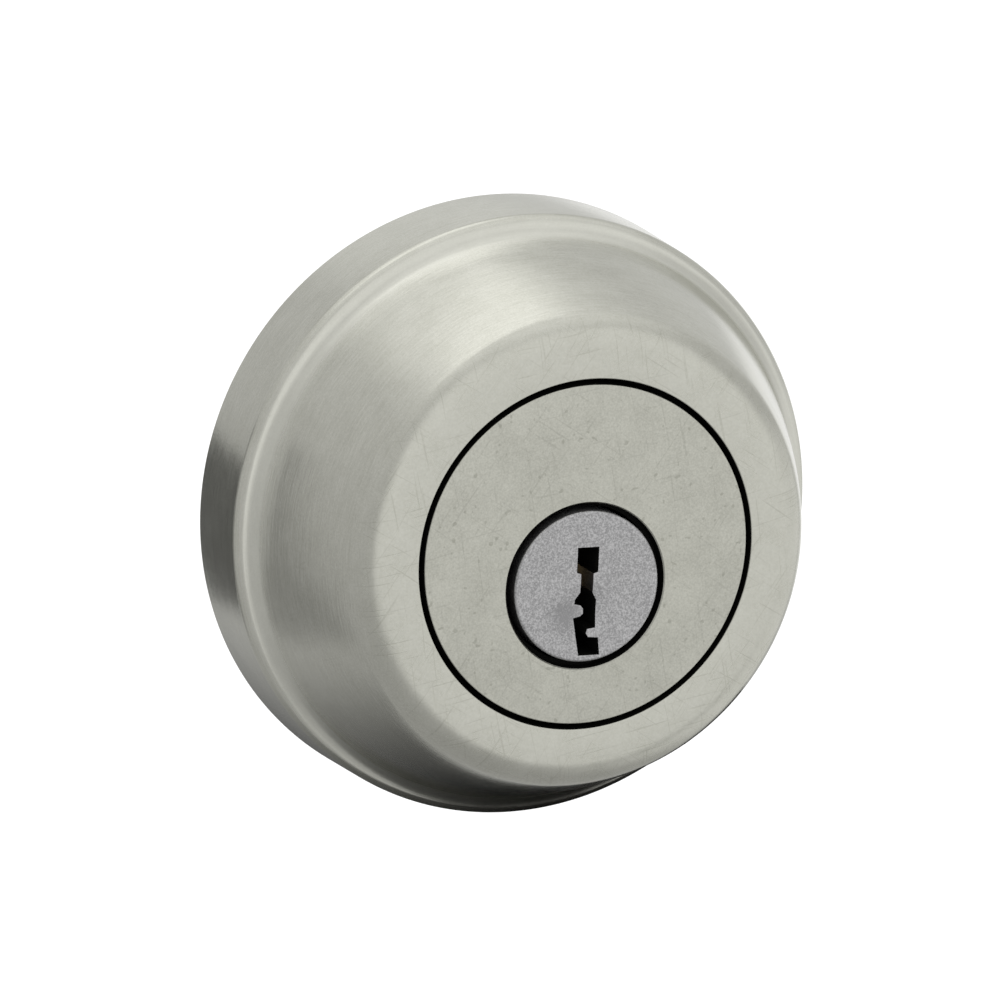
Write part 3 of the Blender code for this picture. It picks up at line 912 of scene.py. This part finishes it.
@dataclass
class KeyPlug:
    """Keyed plug: blasted face with a soft scoop round a warded keyway, and a slotted tail."""

    radius: float = field(default_factory=lambda: half_width("plug"))
    face: float = field(default_factory=lambda: heights("plug")[0])
    tail: float = field(default_factory=lambda: heights("plug")[1])
    edge: float = 0.30 * MM
    groove: tuple[float, float, float] = (7.0 * MM, 2.3 * MM, 0.9 * MM)
    keyway_bottom: float = 3.4 * MM
    chamber_levels: Point = (Axis.PLUG.value - 3.7 * MM, 9.0 * MM)
    recess_radius: float = 4.1 * MM
    recess_top: float = 2.4 * MM
    scoop_depth: float = 0.30 * MM
    scoop_reach: float = 3.4 * MM
    scoop_z: float = -2.6 * MM

    keyway_left: Sequence[Point] = (
        (-1.20, 4.24), (-1.20, 1.55), (-0.70, 1.40), (-0.68, -0.60), (-1.20, -1.35),
        (-1.25, -1.85), (-0.50, -2.05), (-0.20, -2.40), (-0.20, -2.95), (-0.50, -3.20),
        (-1.31, -3.36), (-1.00, -5.50), (-0.62, -7.38),
    )
    keyway_right: Sequence[Point] = (
        (1.76, -7.38), (1.52, -5.52), (0.40, -5.42), (0.15, -5.00), (0.30, -4.58),
        (1.20, -4.47), (1.19, -1.50), (0.72, -0.65), (0.70, 1.40), (1.20, 1.55), (1.20, 4.24),
    )

    def blank(self) -> bpy.types.Object:
        """Return the turned plug, with rings across its face for the scoop."""
        rings = 22
        face = [Corner(self.radius * 0.96 * i / rings, self.face) for i in range(rings + 1)]
        groove_radius, groove_top, groove_bottom = self.groove
        side = [
            Corner(self.radius, self.face, self.edge),
            Corner(self.radius, groove_top, 0.06 * MM),
            Corner(groove_radius, groove_top),
            Corner(groove_radius, groove_bottom),
            Corner(self.radius, groove_bottom, 0.06 * MM),
            Corner(self.radius, self.tail, 0.2 * MM),
            Corner(0.0, self.tail),
        ]
        return turn("key_plug", face + side, Axis.PLUG, 128, ring=False)

    def scoop(self, made: bpy.types.Object) -> None:
        """Press a soft hollow into the face, round the keyway's lower half."""
        centre = Vector((0.0, -self.face, Axis.PLUG.value + self.scoop_z))
        for vertex in made.data.vertices:
            if abs(vertex.co.y + self.face) > 0.01 * MM:
                continue
            away = (vertex.co - centre).length / self.scoop_reach
            if away < 1.0:
                vertex.co.y += self.scoop_depth * (1 - away * away) ** 2

    def cut_keyway(self, made: bpy.types.Object) -> None:
        """Cut the warded keyway and the five pin chambers."""
        points = [(x * MM, z * MM) for x, z in (*self.keyway_left, *self.keyway_right)]
        combine(made, raise_outline("keyway", points, 30 * MM, self.keyway_bottom, Axis.PLUG), "DIFFERENCE")
        for number in range(CHAMBERS):
            combine(made, chamber(number, *self.chamber_levels), "DIFFERENCE")

    def cut_tail(self, made: bpy.types.Object) -> None:
        """Cut the bow-tie recess that gives the torque blade its free play."""
        centre = (0.0, Axis.PLUG.value)
        recess = rod("tail_recess", self.recess_radius, self.recess_top, self.tail - 1 * MM, centre, 64)
        near, far = 1.5 * MM, self.recess_radius + 1 * MM
        through = (self.tail - 2 * MM, self.recess_top + 1 * MM)
        z = Axis.PLUG.value
        combine(recess, block("lug_upper", (-far, -near), (z + near, z + far), through), "DIFFERENCE")
        combine(recess, block("lug_lower", (near, far), (z - far, z - near), through), "DIFFERENCE")
        combine(made, recess, "DIFFERENCE")

    def build(self) -> None:
        """Build and dress the plug."""
        made = self.blank()
        self.scoop(made)
        self.cut_keyway(made)
        self.cut_tail(made)
        clean(made)

        def in_keyway(face: bpy.types.MeshPolygon) -> bool:
            """Return whether a face lines the keyway or a pin chamber."""
            across = math.hypot(face.center.x, face.center.z - Axis.PLUG.value)
            return across < self.radius - 0.2 * MM and 3 * MM < -face.center.y < self.face - 0.5 * MM

        # Faces lining the keyway and pin chambers get painted shade.
        dress(made, Finish.PLUG, Finish.RECESS_SHADE, in_keyway)
        hand_over(made, "keyed_plug", "plug")


@dataclass
class FlatRing:
    """A thin flat ring on the plug's axis, its edges softened."""

    name: str
    node: str
    outer: float
    inner: float
    outer_edge: float
    inner_edge: float

    def build(self) -> bpy.types.Object:
        """Build the ring between the heights of its CAD node."""
        top, bottom = heights(self.node)
        ring = [
            Corner(self.outer, top, self.outer_edge),
            Corner(self.outer, bottom, self.outer_edge),
            Corner(self.inner, bottom, self.inner_edge),
            Corner(self.inner, top, self.inner_edge),
        ]
        return turn(self.name, ring, Axis.PLUG, 96)


@dataclass
class Fittings:
    """Turned and pressed pieces behind the face: plate, cup, clip, washer, posts and pins."""

    lip: float = 26.6 * MM
    lip_wall: float = 1.5 * MM
    cup_hole: float = 16.7 * MM
    cup_wall: float = 2.0 * MM
    cup_radii: tuple[float, float, float] = (24.3 * MM, 27.8 * MM, 29.8 * MM)
    cup_bends: Point = (12.0 * MM, 7.0 * MM)
    stake_ring: float = 5.2 * MM
    post_radii: Point = (2.7 * MM, 4.25 * MM)
    post_step: float = 7.7 * MM
    thread: Point = (1.75 * MM, 2.05 * MM)
    thread_pitch: float = 0.7 * MM

    def seat_plate(self) -> None:
        """Build the pressed plate with its centring lip and its holes."""
        edge = half_width("seat_plate")
        top, end = heights("seat_plate")
        plate = [
            Corner(0.0, top),
            Corner(edge, top, 0.35 * MM),
            Corner(edge, 0.0, 0.12 * MM),
            Corner(self.lip, 0.0, 0.25 * MM),
            Corner(self.lip, end, 0.35 * MM),
            Corner(self.lip - self.lip_wall, end, 0.35 * MM),
            Corner(self.lip - self.lip_wall, 0.0, 0.5 * MM),
            Corner(0.0, 0.0),
        ]
        made = turn("door_seat_plate", plate, Axis.LOCK, 192, ring=False)
        hole = rod("plug_hole", 10.8 * MM, 5 * MM, -5 * MM, (0.0, Axis.PLUG.value), 96)
        combine(made, hole, "DIFFERENCE")
        for x in (-POST_X, POST_X):
            combine(made, rod("post_hole", 4.55 * MM, 5 * MM, -5 * MM, (x, 0.0), 48), "DIFFERENCE")
        deliver(clean(made), Finish.ZINC, "housing", "seat_plate")

    def guard_cup(self) -> None:
        """Build the hardened cup inside the collar."""
        top, foot = heights("guard_cup")
        brow, cheek, rim = self.cup_radii
        bend, waist = self.cup_bends
        wall = self.cup_wall
        cup = [
            Corner(self.cup_hole, top, 0.3 * MM),
            Corner(brow, top, 0.9 * MM),
            Corner(cheek, bend, 2.0 * MM),
            Corner(rim, waist, 2.0 * MM),
            Corner(rim, foot, 0.3 * MM),
            Corner(rim - wall, foot, 0.3 * MM),
            Corner(rim - wall, waist, 1.0 * MM),
            Corner(cheek - wall, bend, 1.0 * MM),
            Corner(brow - wall, top - wall, 0.5 * MM),
            Corner(self.cup_hole, top - wall, 0.3 * MM),
        ]
        made = turn("guard_cup_shell", cup, Axis.LOCK)
        deliver(made, Finish.STEEL, "housing", "guard_cup")

    def plug_clip(self) -> None:
        """Build the snap ring in the plug's groove."""
        made = FlatRing("plug_snap_ring", "plug_clip", 10.0 * MM, 7.3 * MM, 0.15 * MM, 0.08 * MM).build()
        mouth = block("mouth", (-3 * MM, 3 * MM), (-25 * MM, Axis.PLUG.value - 2 * MM), (-5 * MM, 5 * MM))
        combine(made, mouth, "DIFFERENCE")
        deliver(clean(made), Finish.WIRE, "keyed_plug", "plug_clip")

    def blade_washer(self) -> None:
        """Build the washer behind the plug's tail, with four stake marks."""
        made = FlatRing("tail_washer", "blade_washer", 6.6 * MM, 3.6 * MM, 0.15 * MM, 0.12 * MM).build()
        bottom = heights("blade_washer")[1]
        for angle in (45, 135, 225, 315):
            spoke = math.radians(angle)
            across = self.stake_ring * math.cos(spoke)
            centre = (across, Axis.PLUG.value + self.stake_ring * math.sin(spoke))
            dent = rod("stake", 0.55 * MM, bottom + 0.3 * MM, bottom - 1 * MM, centre, 24)
            combine(made, dent, "DIFFERENCE")
        deliver(clean(made), Finish.ZINC, "keyed_plug", "blade_washer")

    def mounting_post(self, side: str, x: float) -> None:
        """Build one threaded post. Its hole carries the ridges of a screw thread."""
        node = f"mounting_post_{side}"
        top, end = heights(node)
        stub, stem = self.post_radii
        inner, root = self.thread
        thread: list[Corner] = []
        height = end + 0.5 * MM
        while height < 3 * MM:
            thread += [Corner(inner, height), Corner(root, height + self.thread_pitch / 2)]
            height += self.thread_pitch
        post = [
            Corner(0.0, top),
            Corner(stub, top, 0.2 * MM),
            Corner(stub, self.post_step),
            Corner(stem, self.post_step, 0.2 * MM),
            Corner(stem, end, 0.5 * MM),
            Corner(2.45 * MM, end),
            *thread,
            Corner(inner, 4 * MM),
            Corner(0.0, 5 * MM),
        ]
        made = turn(f"threaded_post_{side}", post, Axis.LOCK, 64, ring=False, x=x)
        deliver(made, Finish.ZINC, "housing", node)

    def drill_pin(self, side: str, x: float) -> None:
        """Build one hardened pin beside the plug."""
        node = f"drill_pin_{side}"
        top, end = heights(node)
        radius = 1.5 * MM
        sides = Corner(radius, top, 0.3 * MM), Corner(radius, end, 0.1 * MM)
        pin = [Corner(0.0, top), *sides, Corner(0.0, end)]
        made = turn(f"hard_pin_{side}", pin, Axis.PLUG, 48, ring=False, x=x)
        deliver(made, Finish.STEEL, "housing", node)

    def build(self) -> None:
        """Build every fitting."""
        self.seat_plate()
        self.guard_cup()
        self.plug_clip()
        self.blade_washer()
        for side, sign in (("left", -1), ("right", 1)):
            self.mounting_post(side, sign * POST_X)
            self.drill_pin(side, sign * DRILL_PIN_X)


@dataclass
class TorqueBlade:
    """Half-round blade with a wide root, a tapered end and softened edges."""

    thickness: float = 2.4 * MM
    root_width: float = 7.0 * MM
    width: float = 6.0 * MM
    shoulder: float = -2.4 * MM

    def section(self, width: float) -> list[Point]:
        """Return the blade's half-round outline, its wide side upright."""
        half = self.thickness / 2
        radius = (width * width / 4 + self.thickness**2) / (2 * self.thickness)
        spread = math.degrees(math.asin(width / 2 / radius))
        return arc_points((half - radius, 0.0), radius, -spread, spread, 21)

    def build(self) -> None:
        """Build and dress the blade."""
        top, end = heights("torque_blade")
        made = raise_outline("turning_blade", self.section(self.root_width), top, self.shoulder, Axis.PLUG)
        shank = raise_outline("shank", self.section(self.width), self.shoulder + 1 * MM, end, Axis.PLUG)
        combine(made, shank, "UNION")
        bevel_edges(made, 0.18 * MM, 40.0, 3)
        deliver(clean(made), Finish.ZINC, "blade", "torque_blade")


@dataclass
class PinStack:
    """One of the five stacks: key pin, driver pin and spring."""

    number: int
    pin_radius: float = 1.45 * MM
    wire: float = 0.2 * MM
    turns: int = 4
    points_per_turn: int = 24
    closed_ends: float = 0.35
    squeezed: float = 0.45

    def stand(self, name: str, node: str, corners: Sequence[Corner]) -> None:
        """Turn a pin about an upright axis, in its CAD node's place, and hand it over."""
        low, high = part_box(node)
        made = turn(name, corners, Axis.LOCK, 48, ring=False)
        quarter = Matrix.Rotation(-math.pi / 2, 4, "X")
        made.data.transform(Matrix.Translation((0.0, (low.y + high.y) / 2, 0.0)) @ quarter)
        made.data.update()
        deliver(made, Finish.BRASS, f"{node}_body", node)

    def key_pin(self) -> None:
        """Build the key pin with its cone tip and crowned top."""
        node = f"bottom_pin_{self.number}"
        foot, head = (corner.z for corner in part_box(node))
        pin = [
            Corner(0.0, head),
            Corner(self.pin_radius - 0.25 * MM, head, 0.2 * MM),
            Corner(self.pin_radius, head - 0.15 * MM, 0.2 * MM),
            Corner(self.pin_radius, foot + 0.9 * MM, 0.3 * MM),
            Corner(0.5 * MM, foot, 0.15 * MM),
            Corner(0.0, foot),
        ]
        self.stand(f"key_pin_{self.number}", node, pin)

    def driver_pin(self) -> None:
        """Build the driver pin."""
        node = f"driver_pin_{self.number}"
        foot, head = (corner.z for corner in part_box(node))
        radius, edge = self.pin_radius, 0.3 * MM
        pin = [Corner(0.0, head), Corner(radius, head, edge), Corner(radius, foot, edge), Corner(0.0, foot)]
        self.stand(f"driver_{self.number}", node, pin)

    def spring(self) -> None:
        """Build the coil spring, its end coils closed up."""
        node = f"pin_spring_{self.number}"
        low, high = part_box(node)
        centre_y = (low.y + high.y) / 2
        radius = half_width(node) - self.wire
        count = self.turns * self.points_per_turn + 1
        bpy.ops.curve.primitive_bezier_curve_add(location=(0, 0, 0))
        drawn = bpy.context.active_object
        drawn.name = f"coil_spring_{self.number}"
        curve = drawn.data
        curve.splines.clear()
        curve.bevel_depth = self.wire
        curve.bevel_resolution = 3
        curve.use_fill_caps = True
        spline = curve.splines.new("POLY")
        spline.points.add(count - 1)
        foot, head = low.z + self.wire, high.z - self.wire
        for i, place in enumerate(spline.points):
            share = i / (count - 1)
            angle = 2 * math.pi * share * self.turns
            climb = share - self.closed_ends / (2 * math.pi) * math.sin(2 * math.pi * share)
            place.co = (
                radius * math.cos(angle),
                centre_y - radius * math.sin(angle),
                foot + (head - foot) * climb,
                1.0,
            )
        bpy.ops.object.convert(target="MESH")
        made = clean(bpy.context.active_object, 60.0)
        deliver(made, Finish.WIRE, "housing", node)
        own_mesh(made)

    def build(self) -> None:
        """Build the three pieces of the stack."""
        self.key_pin()
        self.driver_pin()
        select_nothing()
        self.spring()


@dataclass
class ChamberCover:
    """Brass strip over the pin chambers, its edges softened."""

    def build(self) -> None:
        """Build and dress the strip."""
        low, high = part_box("chamber_cover")
        made = block("cover_strip", (low.x, high.x), (low.z, high.z), (-high.y, -low.y), 0.12 * MM)
        deliver(clean(made), Finish.BRASS, "housing", "chamber_cover")


# --------------------------------------------------------------------------------------------
# Studio
# --------------------------------------------------------------------------------------------


@dataclass
class Studio:
    """Camera, lamp, white surroundings, a pale floor and a black card."""

    azimuth: float = -22.77
    elevation: float = 13.35
    roll: float = 2.5
    distance: float = 0.6
    lens: float = 203.5
    aim: tuple[float, float, float] = (-3.568 * MM, -12.0 * MM, 2.195 * MM)
    floor_drop: float = 0.25
    flag_sides: Point = (-0.047, 0.045)
    flag_depth: Point = (-0.24, 0.0145)
    flag_levels: Point = (-0.035, -0.034)
    flag_fade: float = 0.059
    lamp_place: tuple[float, float, float] = (-0.10, 0.20, 0.70)
    lamp_size: Point = (0.50, 0.30)
    lamp_watts: float = 0.08

    def camera(self) -> None:
        """Place the camera in front of the lock, to its left and above it."""
        away, climb = math.radians(self.azimuth), math.radians(self.elevation)
        level = math.cos(climb)
        back = Vector((math.sin(away) * level, -math.cos(away) * level, math.sin(climb)))
        right = Vector((0, 0, 1)).cross(back).normalized()
        up = back.cross(right)
        tilt = math.radians(self.roll)
        aim = Vector((0, self.aim[1], 0)) + right * self.aim[0] + up * self.aim[2]
        across = right * math.cos(tilt) + up * math.sin(tilt)
        upright = up * math.cos(tilt) - right * math.sin(tilt)
        axes = Matrix((across, upright, back)).transposed().to_4x4()
        select_nothing()
        bpy.ops.object.camera_add()
        camera = bpy.context.active_object
        camera.name = "studio_camera"
        camera.matrix_world = Matrix.Translation(aim + back * self.distance) @ axes
        camera.data.lens = self.lens
        camera.data.sensor_width = 36.0
        camera.data.clip_start = 0.01
        camera.data.clip_end = 50.0
        bpy.context.scene.camera = camera

    def lamp(self) -> None:
        """Hang one soft rectangular lamp above the lock, facing it."""
        select_nothing()
        bpy.ops.object.light_add(type="AREA", location=self.lamp_place)
        lamp = bpy.context.active_object
        lamp.name = "top_softbox"
        lamp.data.shape = "RECTANGLE"
        lamp.data.size, lamp.data.size_y = self.lamp_size
        lamp.data.energy = self.lamp_watts
        lamp.rotation_euler = (-Vector(self.lamp_place)).to_track_quat("-Z", "Y").to_euler()

    def floor(self) -> None:
        """Lay a wide pale floor well below the lock."""
        select_nothing()
        drop = (0, 0, -self.floor_drop)
        bpy.ops.mesh.primitive_circle_add(vertices=128, radius=12.0, fill_type="NGON", location=drop)
        floor = named("studio_floor")
        floor.data.materials.append(Surface("pale_floor").coat(colour(0.93, 0.93, 0.93), 0.9, metallic=0.0))
        floor.visible_glossy = False

    def flag(self) -> None:
        """Lay a black card under the lock, fading to the left, for its metal alone to reflect."""
        flag = block("black_flag", self.flag_sides, self.flag_levels, self.flag_depth)
        surface = Surface("black_card")
        left = self.flag_sides[0]
        fade = surface.map_range(surface.place()[0], left, left + self.flag_fade)
        surface.feed(surface.shader.inputs["Alpha"], fade)
        flag.data.materials.append(surface.coat(colour(0.012, 0.012, 0.012), 1.0, metallic=0.0))
        flag.visible_camera = False
        flag.visible_diffuse = False
        flag.visible_shadow = False

    def build(self) -> None:
        """Build the studio."""
        self.camera()
        self.floor()
        self.flag()
        world = bpy.data.worlds.new("studio")
        bpy.context.scene.world = world
        world.use_nodes = True
        world.node_tree.nodes.clear()
        Room(world.node_tree).build()
        self.lamp()


@dataclass(frozen=True)
class Panel:
    """One soft-edged card or softbox on the studio's walls, placed by direction from the lock.

    Azimuth 0 is straight behind the lock, 90 is to its right, and angles are in degrees.
    """

    azimuth: float
    elevation: float
    half_width: float
    half_height: float
    softness: float
    level: float

    def axes(self) -> tuple[Vector, Vector, Vector]:
        """Return the directions towards the panel, to its right and upwards across it."""
        turned, climb = math.radians(self.azimuth), math.radians(self.elevation)
        towards = Vector(
            (math.sin(turned) * math.cos(climb), math.cos(turned) * math.cos(climb), math.sin(climb))
        )
        right = towards.cross(Vector((0, 0, 1))).normalized()
        return towards, right, right.cross(towards)


class Room(Nodes):
    """Brightness of the studio's walls by direction, as the lock's metal reflects it."""

    background = 1.25
    levels: Sequence[Point] = (
        (-1.0, 0.46), (-0.7, 0.50), (-0.25, 0.56), (0.25, 0.63), (0.6, 0.70), (0.85, 0.93), (1.0, 1.0),
    )
    panels: Sequence[Panel] = (
        Panel(-25, 60, 22, 14, 16, 1.06),
        Panel(-35, 73, 30, 8, 10, 1.22),
        Panel(45, 22, 26, 14, 14, 0.74),
        Panel(8, 27, 16, 9, 10, 0.86),
        Panel(34, -7, 28, 13, 8, 1.05),
        Panel(104, -22, 32, 26, 16, 0.92),
        Panel(168, 10, 36, 34, 18, 0.975),
        Panel(-50, -13, 11, 24, 6, 0.34),
        Panel(-27, -13, 14, 12, 2.0, 0.13),
    )

    def along(self, where: Value, axis: Vector) -> Value:
        """Return how far a direction goes along an axis."""
        inputs: dict[str | int, Term] = {0: where, 1: tuple(axis)}
        made = self.node("ShaderNodeVectorMath", {"operation": "DOT_PRODUCT"}, inputs)
        return Value(self, made.outputs["Value"])

    def inside(self, across: Value, ahead: Value, half: float, softness: float) -> Value:
        """Return 1 within half an angle of a panel's middle line, and 0 beyond its soft edge."""
        angle = self.maths("ABSOLUTE", self.maths("ARCTAN2", across, ahead))
        near, far = math.radians(half - softness / 2), math.radians(half + softness / 2)
        return self.map_range(angle, near, far, 1.0, 0.0)

    def hang(self, where: Value, level: Value, panel: Panel) -> Value:
        """Return the walls' level with one panel hung over it."""
        towards, right, up = panel.axes()
        ahead = self.along(where, towards)
        wide = self.inside(self.along(where, right), ahead, panel.half_width, panel.softness)
        high = self.inside(self.along(where, up), ahead, panel.half_height, panel.softness)
        return level + (panel.level - level) * (wide * high)

    def shade(self, strength: Term) -> Value:
        """Return white walls of a brightness."""
        made = self.node("ShaderNodeBackground", {}, {"Color": colour(1, 1, 1), "Strength": strength})
        return Value(self, made.outputs[0])

    def build(self) -> None:
        """Fill the world's tree: plain white, and the walls to glossy rays only."""
        where = Value(self, self.node("ShaderNodeTexCoord").outputs["Generated"])
        height = self.along(where, Vector((0, 0, 1)))
        level: Value | Number = self.levels[0][1]
        for (low, first), (high, last) in zip(self.levels, self.levels[1:]):
            level = level + self.map_range(height, low, high, 0.0, last - first, "LINEAR")
        for panel in self.panels:
            level = self.hang(where, level, panel)
        glossy = Value(self, self.node("ShaderNodeLightPath").outputs["Is Glossy Ray"])
        inputs: dict[str | int, Term] = {0: glossy, 1: self.shade(self.background), 2: self.shade(level)}
        mixed = self.node("ShaderNodeMixShader", inputs=inputs)
        self.node("ShaderNodeOutputWorld", inputs={"Surface": Value(self, mixed.outputs[0])})


def corners(box: tuple[Vector, Vector]) -> list[list[float]]:
    """Return a box's two corners as plain lists."""
    return [list(corner) for corner in box]


def main() -> None:
    """Build the lock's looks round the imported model, and the studio."""
    logging.basicConfig(level=logging.INFO, format="%(name)s: %(message)s")
    bpy.context.scene.view_settings.view_transform = "Standard"
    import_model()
    select_nothing()
    Collar().build()
    CylinderBody().build()
    KeyPlug().build()
    Fittings().build()
    TorqueBlade().build()
    ChamberCover().build()
    for number in range(1, CHAMBERS + 1):
        PinStack(number).build()
    Studio().build()


if __name__ == "__main__":
    main()
